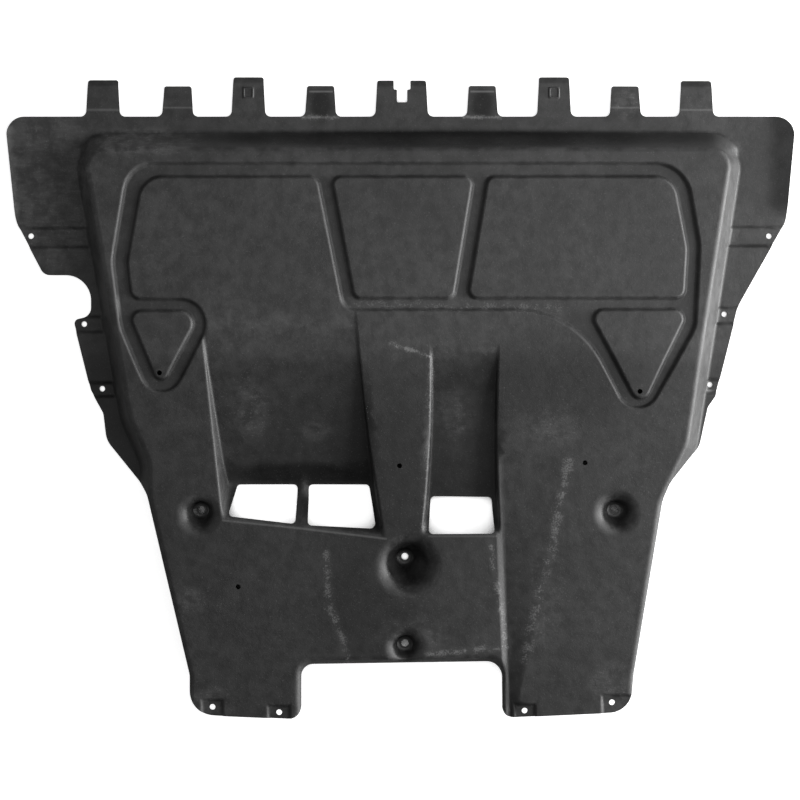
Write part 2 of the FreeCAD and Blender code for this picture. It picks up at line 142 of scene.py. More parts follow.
# Funnels: mouth x, y and radius, seat x and y, and the seat's level
FUNNELS = [
    (-242.5, -143.5, 17.0, -241.0, -138.0, 16.9),
    (261.0, -141.5, 18.5, 261.0, -138.0, 16.9),
    (10.0, -205.5, 30.0, 6.0, -196.0, 3.0),
    (7.0, -304.5, 15.5, 6.0, -300.0, 16.1),
]
# Upturned edges of the flange: y, then x of the fold, and the slope of the edge
LIPS = [
    ([(352, 455), (236, 453), (212, 452)], 14.0),
    ([(352, -478.5), (228, -465.5), (212, -464)], 32.0),
]
FLANGE_LANDS = [
    (-500, -370, 180, 206.5), (-440, -345, 76.5, 98.5), (-440, -330, -2, 18),
    (390, 500, 181.5, 208), (370, 440, 87, 109.5), (350, 420, 2, 22),
]
FOOT_LANDS = [
    (-240, -213, -420, -366), (-160, -132, -420, -373), (137, 164, -420, -371),
    (243, 300, -420, -360),
]
SCREW_HOLES = [
    (-451, 195.5), (-386, 88), (-364, 9), (451, 195.5), (396.5, 100), (379, 14),
    (-226.5, -375.5), (-146, -382), (150.5, -380), (256, -370),
]
DRAINS = [(-289.5, 28), (289, 5.5), (-0.5, -84), (-195, -230), (223, -80.5)]
HOLE_RADII = {"screw": 3.5, "bolt": 4.5, "drain": 3.0}

# Tabs: centre x, reach past the front edge and kind
TABS = [
    (-362.5, 45.0, "tall"), (-271.5, 37.5, "short"), (-185.0, 48.5, "tall"),
    (-97.0, 38.0, "short"), (2.0, 44.5, "centre"), (100.5, 38.0, "short"),
    (188.0, 48.5, "tall"), (275.0, 37.5, "short"), (361.5, 44.0, "tall"),
]
TAB_WIDTHS = {"tall": 36.5, "short": 33.0, "centre": 59.5}
TAB_FLARE = 5.0
TAB_ROOT_RADIUS = 7.0
TAB_TIP_RADIUS = 3.0
TAB_DROP = 4.0
SLOPE_START = -3.0
SLOPE_RUN = 33.0
TIP_BEND = 7.0
CLIP_TABS = (2, 6)
CLIP_PLACE = 29.0
CLIP_HALF = 7.0
CLIP_WINDOW_HALF = 4.0
CLIP_RISE = 1.2
CLIP_EDGE = 1.4
TAB_MARGIN = 6.0
SLOT_CENTRE = 2.5
SLOT_STEPS = [(20.5, 11.5), (12.5, 27.0)]

# Colours of the plastic, as shares of white
PLASTIC = 0.021
DUST = 0.018
# Lighter colour of the rubbed patches and of the patches of painted light
RUBBED_AND_LIT = 0.04
SCUFFED = 0.15
LINED = 0.12
DOTTED = 0.03

# Widening of the scuffed lines, and how much smoother the funnels are
STROKE_SPREAD = 2.4
FUNNEL_SHEEN = 0.24

# Sizes of the patterns in the plastic, in millimetres
MOTTLE = 15
CLOUDS = 110
GRAIN = 1.7
SPECKS = 1.8
BREAKS = 11
STREAKS = 4
DOTS = 1.8

# Scuffed lines, broken up into specks: strength, width and points
STROKES = [
    (0.55, 5, [(203.7, -77), (183, -184), (169, -233), (157, -288), (152, -319)]),
    (0.6, 3.5, [(108.5, -172), (129, -302)]),
    (0.6, 3.5, [(129, -302), (34, -311)]),
    (0.5, 4, [(-90, -189), (-86, -253), (-71, -288), (-63, -319)]),
    (0.8, 2.5, [(-11, 63), (36, 48)]),
    (0.4, 4, [(37.4, 48), (36, -53), (29, -160)]),
    (0.4, 5, [(-50, 109), (70, 109), (195, 106)]),
    (0.6, 2.5, [(-119, 340), (-75, 340)]),
    (0.6, 2.5, [(78, 340), (123, 340)]),
]

# Worn lines along folds: strength, width and points
LINES = [
    (0.5, 2.2, [(-213, -150), (-125, -159), (-17, -172)]),
    (0.3, 2.0, [(35, -169), (116, -169)]),
    (0.5, 2.5, [(-119, 340), (-75, 340)]),
    (0.5, 2.5, [(78, 340), (123, 340)]),
    (0.5, 2.0, [(-290, 352), (-250, 352)]),
    (0.5, 2.0, [(250, 352), (296, 352)]),
    (0.5, 2.0, [(343, 349), (380, 349)]),
    (0.5, 2.5, [(-386, 349), (-340, 349)]),
    (0.9, 2.0, [(-110, 372), (-83, 372)]),
    (0.9, 2.0, [(87, 372), (114, 372)]),
]

# Rubbed patches, and lighter patches of painted light on the left flange and the left end of the
# front slope: strength, x and y of the middle, then half their sizes
RUBBED_AND_LIT_PATCHES = [
    (1.0, -180, -18, 26, 46), (0.8, -104, -43, 26, 15), (0.9, 67, -23, 28, 40),
    (0.9, 181, -35, 48, 32), (0.8, -252, -247, 22, 22), (0.5, 175, -240, 30, 90),
    (0.7, -226, -368, 40, 26), (0.7, 258, -352, 40, 40), (0.6, 10, -290, 60, 30),
    (1.0, -315, 308, 95, 24), (0.8, -430, 245, 80, 150), (0.9, 275, 358, 20, 26),
]

# Darker patches, given like the rubbed ones: painted shade on the front slope, the sloped short tabs,
# the ends of the ramps, across the ducts and in the rear middle
PAINTED_SHADE_PATCHES = [
    (0.7, -97, 356, 17, 26), (0.7, 100.5, 356, 17, 26), (0.9, 60, 312, 400, 18),
    (0.8, -120, -96, 105, 20), (0.45, -10, -120, 100, 160),
    (0.5, -30, -245, 80, 100), (0.45, 190, 15, 125, 75),
]

# Lamps in metres and watts: name, place, size, power and what it points at
LAMPS = [
    ("overhead", (1.25, 0.35, 2.7), (3.1, 0.8), 21, (1.25, 0.35, 0)),
    ("right_window", (2.3, 0, 1.5), (1.5, 0.9), 40, (0, 0, 0)),
    ("middle_window", (2.4, 0, 0.85), (1.5, 0.5), 22, (0, 0, 0)),
    ("low_window", (2.5, 0, 0.28), (1.5, 0.4), 105, (0, 0, 0)),
    ("left_window", (-2.2, 0, 1.6), (1.5, 1.2), 6, (0, 0, 0)),
]
AMBIENT = 0.05

# The floor's glow and colour by how open it lies, both fading under the sheet and the colour going
# near black there as painted shade, and its size in metres
FLOOR_SIZE = 8
FLOOR_DROP = 0.0005
FLOOR_GLOW = 0.85
FLOOR_WHITE = 0.8
COVERED, OPEN = 0.12, 0.45

# Camera in metres
CAMERA_HEIGHT = 2.4
CAMERA_Y = -0.0048
FRAME_WIDTH = 0.9786

# Spacing of the mesh
SIDE_STEP = 11.0
ARC_STEP = math.radians(9)
CHORD = 6.0
FILL = 9.0
KEEP_OFF = 0.7
WIDE_FOLD = 4.0
NARROW_SHARES = (-1, -0.6, -0.25, 0.1, 0.45, 1)
WIDE_SHARES = (-1.35, -1.05, -0.8, -0.58, -0.38, -0.18, 0.02, 0.22, 0.45, 0.7, 1, 1.3)
VALLEY_SHARES = (-0.35, -0.1, 0.12, 0.34, 0.56, 0.78, 0.92, 1.06)
VALLEY_STEPS = 60
BEND_GAPS = (-4, -2, 0, 2, 4)
RAMP_GAPS = (-6, -3, 0, 3, 6)
FALL_GAPS = (-10, -5, 0, 5, 10)
LIP_GAPS = (-3, -1, 1, 3)
LEFT_RAMP_BENDS = (90, 40, -81, -107.5)
RIGHT_RAMP_BENDS = (55, 5, -121)
HOLE_SIDES = 24
FUNNEL_SIDES = 44
RIM_STEP = 3.0
RIM_CHORD = 2.0
LOOP_STEP = 6.0

# How the shape is worked out: places at a time, search range and steps, and reach of a slope
CHUNK = 200
LOWEST, HIGHEST = -14.0, 60.0
HALVINGS = 26
FACING_STEP = 0.05
# Rounding of a fold at which its crest gets the full wear and painted highlight
FULL_WEAR_AND_HIGHLIGHT = 0.6


def rad(angle):
    return math.radians(angle)


def shifted(outline, moves):
    """Outline with each side moved outwards by its own amount, and each radius kept true."""
    lines = []
    for index, start in enumerate(outline):
        end = outline[(index + 1) % len(outline)]
        length = math.hypot(end[0] - start[0], end[1] - start[1])
        ahead = ((end[0] - start[0]) / length, (end[1] - start[1]) / length)
        move = moves[index]
        lines.append((start[0] - ahead[1] * move, start[1] + ahead[0] * move, ahead))
    corners = []
    for index, corner in enumerate(outline):
        x_in, y_in, before = lines[index - 1]
        x_out, y_out, after = lines[index]
        turn = before[0] * after[1] - before[1] * after[0]
        along = ((x_out - x_in) * after[1] - (y_out - y_in) * after[0]) / turn
        move = (moves[index - 1] + moves[index]) / 2
        radius = max(corner[2] + (move if turn < 0 else -move), 0.3) if corner[2] else 0
        corners.append((x_in + before[0] * along, y_in + before[1] * along, radius))
    return corners


def sampled(outline, side_step=SIDE_STEP, chord=CHORD):
    """Points along the sides and round the corners of an outline."""
    arcs = []
    for index, (x, y, radius) in enumerate(outline):
        here = np.array([x, y], float)
        back = np.array(outline[index - 1][:2], float) - here
        ahead = np.array(outline[(index + 1) % len(outline)][:2], float) - here
        back /= np.linalg.norm(back)
        ahead /= np.linalg.norm(ahead)
        if not radius:
            arcs.append([here])
            continue
        half = math.acos(max(-1, min(1, float(back @ ahead)))) / 2
        inward = (back + ahead) / np.linalg.norm(back + ahead)
        centre = here + inward * (radius / math.sin(half))
        start = here + back * (radius / math.tan(half)) - centre
        turn = math.pi - 2 * half
        side = 1 if back[0] * ahead[1] - back[1] * ahead[0] < 0 else -1
        count = max(2, math.ceil(turn / min(ARC_STEP, chord / radius)))
        points = []
        for step in range(count + 1):
            angle = side * turn * step / count
            cosine, sine = math.cos(angle), math.sin(angle)
            points.append(centre + np.array([start[0] * cosine - start[1] * sine,
                                             start[0] * sine + start[1] * cosine]))
        arcs.append(points)
    line = []
    for index, points in enumerate(arcs):
        line += points
        goal = arcs[(index + 1) % len(arcs)][0]
        gap = goal - points[-1]
        count = max(1, math.ceil(np.linalg.norm(gap) / side_step))
        line += [points[-1] + gap * step / count for step in range(1, count)]
    return np.array(line)


def circle(x, y, radius, count):
    angles = np.arange(count) * 2 * math.pi / count
    return np.stack([x + radius * np.cos(angles), y + radius * np.sin(angles)], 1)


def rectangle(x_low, x_high, y_low, y_high, radius):
    corners = [(x_low, y_high), (x_high, y_high), (x_high, y_low), (x_low, y_low)]
    return [(x, y, radius) for x, y in corners]


def inside(points, loop):
    """Which points lie inside a closed loop."""
    starts, ends = loop, np.roll(loop, -1, 0)
    lowest, highest = np.minimum(starts, ends)[:, 1], np.maximum(starts, ends)[:, 1]
    found = np.zeros(len(points), bool)
    for start in range(0, len(points), CHUNK):
        x, y = points[start:start + CHUNK, 0, None], points[start:start + CHUNK, 1, None]
        near = (lowest <= y.max()) & (highest >= y.min()) & (highest > lowest)
        (ax, ay), (bx, by) = starts[near].T, ends[near].T
        crosses = (ay > y) != (by > y)
        where = ax + (y - ay) / (by - ay) * (bx - ax)
        found[start:start + CHUNK] = (crosses & (x < where)).sum(1) % 2 == 1
    return found


def distance(points, loop):
    """Distance from points to a closed loop, negative inside it."""
    edges = np.roll(loop, -1, 0) - loop
    halves = np.hypot(edges[:, 0], edges[:, 1]) / 2
    middles = loop + edges / 2
    result = np.empty(len(points))
    for start in range(0, len(points), CHUNK):
        some = points[start:start + CHUNK]
        centre = (some.min(0) + some.max(0)) / 2
        reach = np.hypot(*(some - centre).T).max()
        away = np.hypot(*(middles - centre).T)
        near = away - halves - reach <= (away + halves).min() + reach
        a, edge = loop[near], edges[near]
        x, y = some[:, 0, None] - a[:, 0], some[:, 1, None] - a[:, 1]
        share = np.clip((x * edge[:, 0] + y * edge[:, 1]) / (halves[near] ** 2 * 4), 0, 1)
        gap = (x - share * edge[:, 0]) ** 2 + (y - share * edge[:, 1]) ** 2
        result[start:start + CHUNK] = np.sqrt(gap.min(1))
    return np.where(inside(points, loop), -result, result)


def low(a, b, radius):
    """The lower of two levels, blended over a fold."""
    if not radius:
        return np.minimum(a, b)
    share = np.clip(0.5 + 0.5 * (b - a) / radius, 0, 1)
    return b + (a - b) * share - radius * share * (1 - share)


def high(a, b, radius):
    """The higher of two levels, blended over a fold."""
    return -low(-a, -b, radius)


def side_distance(x, y, side):
    """Distance to the left of a side, which is outwards on a clockwise outline."""
    x1, y1, x2, y2 = side[:4]
    length = math.hypot(x2 - x1, y2 - y1)
    return ((y - y1) * (x2 - x1) - (x - x1) * (y2 - y1)) / length


def tilted(gap, level, draft, top):
    """Distance to a drafted wall whose edge lies at a level; top is 1 for a body, -1 for a recess."""
    return gap * math.cos(rad(draft)) + top * level * math.sin(rad(draft))


BODY_LOOP = sampled(BODY, LOOP_STEP, 4)
GROOVE_LOOP = sampled(GROOVE, LOOP_STEP, 4)
PANEL_LOOPS = [sampled(panel, LOOP_STEP, 3) for panel in PANELS]


class Place:
    """A set of places seen from above, with what the shape there depends on."""

    def __init__(self, points):
        self.x, self.y = points[:, 0], points[:, 1]
        self.soft = 1
        x, y = self.x, self.y
        self.body = distance(points, BODY_LOOP)
        self.groove = distance(points, GROOVE_LOOP)
        self.panels = [distance(points, loop) for loop in PANEL_LOOPS]
        share = np.clip((y - FRONT_SLOPE) / FRONT_SLOPE_RUN, 0, 1)
        self.draft = np.radians(BODY_DRAFT + (FRONT_DRAFT - BODY_DRAFT) * share)
        stations, depths = smooth_profile(FALL, FALL_FOLD)
        self.top = CREST - np.interp(y, stations, depths) - self.valley()
        self.flange = self.flange_level()
        self.lands = [self.box_distance(*land) for land in FLANGE_LANDS]
        self.feet = [self.box_distance(*land) for land in FOOT_LANDS]
        self.ramps = []
        for duct in (LEFT_DUCT, RIGHT_DUCT):
            stations, depths = smooth_profile(duct["ramp"])
            self.ramps.append(CREST - np.interp(y, stations, depths))
        rib = np.clip(1 - np.abs(x - RIB_X) / RIB_HALF, 0, 1)
        rib = rib * np.clip((RIB_START - y) / RIB_RUN, 0, 1)
        self.ramps[0] = self.ramps[0] + RIB_HEIGHT * rib

    def box_distance(self, x_low, x_high, y_low, y_high):
        gap_x = np.abs(self.x - (x_low + x_high) / 2) - (x_high - x_low) / 2
        gap_y = np.abs(self.y - (y_low + y_high) / 2) - (y_high - y_low) / 2
        return high(gap_x, gap_y, LAND_CORNER)

    def valley(self):
        """Depth of the shallow valley beside the right duct."""
        share = (self.y - VALLEY_FRONT[0]) / (VALLEY_REAR[0] - VALLEY_FRONT[0])
        left, bottom, right, depth = (
            VALLEY_FRONT[k] + (VALLEY_REAR[k] - VALLEY_FRONT[k]) * share for k in (1, 2, 3, 4)
        )
        depth = np.maximum(depth, 0)
        down = low((self.x - left) / np.maximum(bottom - left, 2),
                   (right - self.x) / np.maximum(right - bottom, 2), 0.3)
        reach = np.clip((VALLEY_FRONT[0] + 12 - self.y) / 24, 0, 1)
        reach = reach * reach * (3 - 2 * reach)
        return depth * high(down, 0 * down, 0.12) * reach

    def flange_level(self):
        """Level of the flange, with the slopes and bent tips of the tabs."""
        level = np.full(len(self.y), FLANGE)
        for x, reach, kind in TABS:
            near = np.abs(self.x - x) < TAB_WIDTHS[kind] / 2 + TAB_FLARE / 2 + TAB_MARGIN
            tip = FRONT_EDGE + reach
            start = FRONT_EDGE + SLOPE_START if kind == "short" else tip - TIP_BEND
            run = SLOPE_RUN if kind == "short" else TIP_BEND
            slope = FLANGE - (self.y - start) * TAB_DROP / run
            drop = high(low(FLANGE + 0 * self.y, slope, TAB_FOLD),
                        FLANGE - TAB_DROP + 0 * self.y, TAB_FOLD)
            level = np.where(near, drop, level)
        for number in CLIP_TABS:
            gap = np.maximum(np.abs(self.x - TABS[number][0]),
                             np.abs(self.y - FRONT_EDGE - CLIP_PLACE))
            ring = np.clip(np.minimum(CLIP_HALF - gap, gap - CLIP_WINDOW_HALF) / CLIP_EDGE, 0, 1)
            level = level + CLIP_RISE * ring * ring * (3 - 2 * ring)
        for stations, slope in LIPS:
            stations = sorted(stations)
            fold = np.interp(self.y, [s[0] for s in stations], [s[1] for s in stations])
            side = np.sign(stations[0][1])
            reach = np.clip((self.y - stations[0][0]) / (stations[1][0] - stations[0][0]), 0, 1)
            reach = reach * reach * (3 - 2 * reach)
            past = side * (self.x - fold) * math.tan(rad(slope))
            level = level + reach * high(past, 0 * past, LIP_FOLD)
        return level

    def duct(self, number, z):
        """Distance to the space inside one duct."""
        duct = (LEFT_DUCT, RIGHT_DUCT)[number]
        walls = None
        for group in duct["walls"]:
            sides = [tilted(side_distance(self.x, self.y, side), z - CREST, side[4], -1)
                     for side in group]
            wall = sides[0]
            for side in sides[1:]:
                wall = low(wall, side, DUCT_BULGE)
            walls = wall if walls is None else high(walls, wall, DUCT_CORNER)
        return high(walls, self.ramps[number] - z, DUCT_FOLD * self.soft)

    def funnel(self, funnel, z):
        """Distance to the space inside one funnel."""
        x, y, radius, seat_x, seat_y, seat = funnel
        mouth = CREST - np.interp(-seat_y, [-place for place, _ in FALL], [d for _, d in FALL])
        share = (z - seat) / (mouth - seat)
        wide = (radius - BOSS_SEAT) / (mouth - seat)
        out = np.hypot(self.x - seat_x - (x - seat_x) * share,
                       self.y - seat_y - (y - seat_y) * share)
        wall = (out - BOSS_SEAT - (radius - BOSS_SEAT) * share) / math.hypot(1, wide)
        return high(wall, seat - z, SEAT_FOLD * self.soft)

    def above(self, z):
        """Distance above the road side, for one height at each place."""
        soft = self.soft
        flange = z - self.flange
        for gap in self.lands:
            land = high(tilted(gap, z - FLANGE, LAND_DRAFT, -1), LAND - z, LAND_FOLD * soft)
            flange = high(flange, -land, LAND_FOLD * soft)
        slope = self.body * np.cos(self.draft) + (z - CREST) * np.sin(self.draft)
        body = high(z - self.top, slope, CREST_FOLD * soft)
        groove = high(tilted(self.groove, z - CREST, GROOVE_DRAFT, -1),
                      CREST - GROOVE_DEPTH - z, GROOVE_FOLD * soft)
        for gap in self.panels:
            groove = high(groove, -tilted(gap, z - CREST, GROOVE_DRAFT, 1), GROOVE_FOLD * soft)
        body = high(body, -groove, GROOVE_FOLD * soft)
        for gap in self.feet:
            floor = self.top - FOOT_LAND_DEPTH
            dip = high(tilted(gap, z - self.top, LAND_DRAFT, -1), floor - z, LAND_FOLD * soft)
            body = high(body, -dip, LAND_FOLD * soft)
        whole = low(flange, body, FOOT_FOLD * soft)
        for number in (0, 1):
            whole = high(whole, -self.duct(number, z), DUCT_FOLD * soft)
        for funnel in FUNNELS:
            whole = high(whole, -self.funnel(funnel, z), FUNNEL_FOLD * soft)
        return whole

    def crests(self, z):
        """How much each place is a crest, which the material lightens as wear and painted highlight:
        1 in the middle of a fold that stands out.
        """
        self.soft = 0
        sharp = self.above(z)
        self.soft = 1
        return np.clip((self.above(z) - sharp) / FULL_WEAR_AND_HIGHLIGHT, 0, 1)

    def level(self, depth):
        """Height of the surface that lies a depth below the road side."""
        bottom = np.full(len(self.x), LOWEST)
        top = np.full(len(self.x), HIGHEST)
        for _ in range(HALVINGS):
            middle = (bottom + top) / 2
            under = self.above(middle) < -depth
            bottom = np.where(under, middle, bottom)
            top = np.where(under, top, middle)
        return (bottom + top) / 2


def smooth_profile(points, radius=6.0):
    """A side view's line with its bends rounded, as stations in rising order and depths."""
    points = sorted(points)
    stations = np.arange(points[0][0], points[-1][0] + 1, 1.0)
    depths = np.interp(stations, [p[0] for p in points], [p[1] for p in points])
    weights = np.hanning(int(2 * radius) + 3)[1:-1]
    pad = len(weights) // 2
    padded = np.pad(depths, pad, mode="edge")
    return stations, np.convolve(padded, weights / weights.sum(), mode="valid")


def tab_corners():
    """Corners of the front tabs from left to right, with the slot in the centre tab."""
    corners = []
    for x, reach, kind in TABS:
        half = TAB_WIDTHS[kind] / 2
        root = half + TAB_FLARE / 2
        tip = FRONT_EDGE + reach
        corners.append((x - root, FRONT_EDGE, TAB_ROOT_RADIUS))
        corners.append((x - half, tip, TAB_TIP_RADIUS))
        if kind == "centre":
            levels = [tip] + [tip - depth for _, depth in SLOT_STEPS]
            left = []
            for number, (width, _) in enumerate(SLOT_STEPS):
                left.append((SLOT_CENTRE - width / 2, levels[number], 1.5))
                left.append((SLOT_CENTRE - width / 2, levels[number + 1], 1.5))
            corners += left
            corners += [(2 * SLOT_CENTRE - x_left, y, r) for x_left, y, r in reversed(left)]
        corners.append((x + half, tip, TAB_TIP_RADIUS))
        corners.append((x + root, FRONT_EDGE, TAB_ROOT_RADIUS))
    return corners


TRIM = TRIM_LEFT + tab_corners() + TRIM_RIGHT


def skin_shift(draft, depth):
    """Sideways move of a drafted wall's edge, from the road side to a depth below it."""
    return depth * (1 - math.sin(rad(draft))) / math.cos(rad(draft))


def fold_rows(outline, drafts, drop, folds, depth, grows):
    """Rows of points along the upper and the lower fold of a drafted wall."""
    rows = []
    for share in WIDE_SHARES if folds[0] > WIDE_FOLD else NARROW_SHARES:
        crests, feet = [], []
        for draft in drafts:
            cosine, tangent = math.cos(rad(draft)), math.tan(rad(draft))
            start = -grows * skin_shift(draft, depth)
            flat, wall = abs(share) / cosine, abs(share) * tangent
            crests.append(start + grows * folds[0] * (wall if share > 0 else -flat))
            feet.append(start + grows * (drop * tangent
                                         + folds[1] * (flat if share < 0 else -wall)))
        rows.append(sampled(shifted(outline, crests)))
        rows.append(sampled(shifted(outline, feet)))
    return rows


def wall_rows(outline, reach, depth):
    """Rows beside the walls of a duct, from outside its edge to past its foot."""
    rows = []
    for move in np.arange(DUCT_FOLD, -reach, -1.25):
        shift = move + skin_shift(8, depth)
        rows.append(sampled(shifted(outline, [shift] * len(outline)), 8))
    return rows


def cross_rows(x_low, x_high, stations):
    """Open rows across a ramp where it bends."""
    rows = []
    for station in stations:
        for gap in RAMP_GAPS:
            x = np.arange(x_low, x_high, 8.0)
            rows.append(np.stack([x, np.full(len(x), station + gap)], 1))
    return rows


def feature_rows(depth):
    """Every closed row that follows a fold, and every open one, for one side of the sheet."""
    drafts = [FRONT_DRAFT] + [BODY_DRAFT] * (len(BODY) - 1)
    closed = fold_rows(BODY, drafts, CREST - FLANGE, (CREST_FOLD, FOOT_FOLD), depth, 1)
    drafts, folds = [GROOVE_DRAFT] * len(GROOVE), (GROOVE_FOLD, GROOVE_FOLD)
    closed += fold_rows(GROOVE, drafts, GROOVE_DEPTH, folds, depth, -1)
    for panel in PANELS:
        closed += fold_rows(panel, drafts[:len(panel)], GROOVE_DEPTH, folds, depth, 1)
    drafts, folds = [LAND_DRAFT] * 4, (LAND_FOLD, LAND_FOLD)
    for land in FLANGE_LANDS:
        closed += fold_rows(rectangle(*land, LAND_CORNER), drafts, FLANGE - LAND, folds, depth, -1)
    for land in FOOT_LANDS:
        closed += fold_rows(rectangle(*land, LAND_CORNER), drafts, FOOT_LAND_DEPTH, folds, depth, -1)
    closed += wall_rows(LEFT_DUCT["outline"], 12, depth)
    closed += wall_rows(RIGHT_DUCT["outline"], 9, depth)
    for x, y, radius, seat_x, seat_y, seat in FUNNELS:
        grow = radius - BOSS_SEAT
        sizes = [-3.2, -1.8, -0.6, 0.8, 2.2, *np.linspace(4, grow - 5, math.ceil(grow / 3))]
        for size in (*sizes, grow - 3, grow - 1.2, grow + 0.6, grow + 2.4, grow + 4.4, grow + 6.6,
                     grow + 9, grow + 12):
            share = np.clip(size / grow, 0, 1)
            closed.append(circle(seat_x + (x - seat_x) * share, seat_y + (y - seat_y) * share,
                                 BOSS_SEAT + size + skin_shift(35, depth), FUNNEL_SIDES))
    for number in CLIP_TABS:
        x, y = TABS[number][0], FRONT_EDGE + CLIP_PLACE
        for half in np.arange(CLIP_WINDOW_HALF - 0.7, CLIP_HALF + 1, 0.7):
            closed.append(sampled(rectangle(x - half, x + half, y - half, y + half, 0), 3))
    opened = cross_rows(-228, -34, LEFT_RAMP_BENDS)
    opened += cross_rows(38, 116, RIGHT_RAMP_BENDS)
    x = np.arange(-320, 345, 12.0)
    for place, _ in FALL[1:-1]:
        opened += [np.stack([x, np.full(len(x), place + gap)], 1) for gap in FALL_GAPS]
    for stations, _ in LIPS:
        for gap in LIP_GAPS:
            opened.append(np.array([(x + gap, y) for y, x in stations]))
    for x_tab, reach, kind in TABS:
        half = TAB_WIDTHS[kind] / 2
        tip = FRONT_EDGE + reach
        bends = (tip - TIP_BEND,)
        if kind == "short":
            bends = (FRONT_EDGE + SLOPE_START, FRONT_EDGE + SLOPE_START + SLOPE_RUN)
        for bend in bends:
            for gap in BEND_GAPS:
                x = np.linspace(x_tab - half - 8, x_tab + half + 8, 12)
                opened.append(np.stack([x, np.full(len(x), bend + gap)], 1))
    for share in VALLEY_SHARES:
        left = [VALLEY_FRONT[0], VALLEY_FRONT[1] + share * (VALLEY_FRONT[2] - VALLEY_FRONT[1])]
        ends = [VALLEY_REAR[0] - 20, VALLEY_REAR[1] + share * (VALLEY_REAR[2] - VALLEY_REAR[1])]
        steps = np.linspace(0, 1, VALLEY_STEPS)[:, None]
        opened.append((np.array(left) + (np.array(ends) - np.array(left)) * steps)[:, ::-1])
        share = 0.06 + (share + 0.35) * 0.68
        right = [VALLEY_FRONT[0], VALLEY_FRONT[2] + share * (VALLEY_FRONT[3] - VALLEY_FRONT[2])]
        ends = [VALLEY_REAR[0] - 20, VALLEY_REAR[2] + share * (VALLEY_REAR[3] - VALLEY_REAR[2])]
        opened.append((np.array(right) + (np.array(ends) - np.array(right)) * steps)[:, ::-1])
    return closed, opened


def hole_loops(grow):
    """Loops of the louvre openings and the holes, each grown by an amount."""
    loops = [sampled(shifted(louvre, [grow] * 4), RIM_STEP, RIM_CHORD) for louvre in LOUVRES]
    places = [("screw", hole) for hole in SCREW_HOLES]
    places += [("drain", hole) for hole in DRAINS]
    places += [("bolt", funnel[3:5]) for funnel in FUNNELS]
    loops += [circle(x, y, HOLE_RADII[kind] + grow, HOLE_SIDES) for kind, (x, y) in places]
    return loops


class Mesher:
    """Points and the edges that a triangulation keeps."""

    def __init__(self):
        self.points, self.edges = [], []

    def add(self, line, closed, keep=None):
        """Adds a line, broken where keep is false."""
        start = len(self.points)
        place = {}
        for index, point in enumerate(line):
            if keep is None or keep[index]:
                place[index] = start + len(place)
                self.points.append((float(point[0]), float(point[1])))
        count = len(line)
        for index in range(count if closed else count - 1):
            after = (index + 1) % count
            if index in place and after in place:
                self.edges.append((place[index], place[after]))


def make_side(depth):
    """Triangles of one side of the sheet: points and faces, and the boundary loops."""
    mesher = Mesher()
    trim = sampled(TRIM, RIM_STEP, RIM_CHORD)
    holes = hole_loops(0)
    for loop in [trim, *holes]:
        mesher.add(loop, True)
    boundary = len(mesher.points)
    mesher.add(sampled(shifted(TRIM, [-EDGE] * len(TRIM)), RIM_STEP, RIM_CHORD), True)
    for grow in (EDGE, 3 * EDGE):
        for loop in hole_loops(grow):
            mesher.add(loop, True)
    closed, opened = feature_rows(depth)
    lines = [(line, True) for line in closed] + [(line, False) for line in opened]
    everything = np.concatenate([line for line, _ in lines])
    room = distance(everything, trim) < -EDGE - KEEP_OFF
    for loop in holes:
        low_corner, high_corner = loop.min(0) - 3, loop.max(0) + 3
        near = ((everything > low_corner) & (everything < high_corner)).all(1)
        if near.any():
            room[near] &= distance(everything[near], loop) > 3 * EDGE + KEEP_OFF
    start = 0
    for line, is_closed in lines:
        mesher.add(line, is_closed, room[start:start + len(line)])
        start += len(line)
    tree = KDTree(len(mesher.points))
    for index, (x, y) in enumerate(mesher.points):
        tree.insert((x, y, 0), index)
    tree.balance()
    fill = []
    lowest, highest = trim.min(0), trim.max(0)
    for row, y in enumerate(np.arange(lowest[1], highest[1], FILL * 0.87)):
        for x in np.arange(lowest[0] + (row % 2) * FILL / 2, highest[0], FILL):
            if tree.find((x, y, 0))[2] > FILL * 0.55:
                fill.append((x, y))
    fill = np.array(fill)
    room = distance(fill, trim) < -2
    for loop in holes[:3]:
        room &= distance(fill, loop) > 2
    mesher.points += [tuple(point) for point in fill[room]]
    vectors = [Vector(point) for point in mesher.points]
    found = delaunay_2d_cdt(vectors, mesher.edges, [], 0, 1e-6, True)
    points = np.array([tuple(point) for point in found[0]])
    faces = np.array(found[2])
    centres = points[faces].mean(1)
    keep = inside(centres, trim)
    for loop in holes:
        keep &= ~inside(centres, loop)
    origin = {}
    for index, sources in enumerate(found[3]):
        for source in sources:
            if source < boundary:
                origin[source] = index
    loops = []
    start = 0
    for loop in [trim, *holes]:
        loops.append([origin[start + k] for k in range(len(loop))])
        start += len(loop)
    return points, faces[keep], loops


def facing(points, height):
    """Direction that the sheet faces at each point, from how its shape changes around it."""
    slopes = []
    for move in ((FACING_STEP, 0), (0, FACING_STEP)):
        ahead = Place(points + np.array(move)).above(height)
        back = Place(points - np.array(move)).above(height)
        slopes.append(ahead - back)
    place = Place(points)
    slopes.append(place.above(height + FACING_STEP) - place.above(height - FACING_STEP))
    normals = np.stack(slopes, 1)
    return normals / np.linalg.norm(normals, axis=1)[:, None]


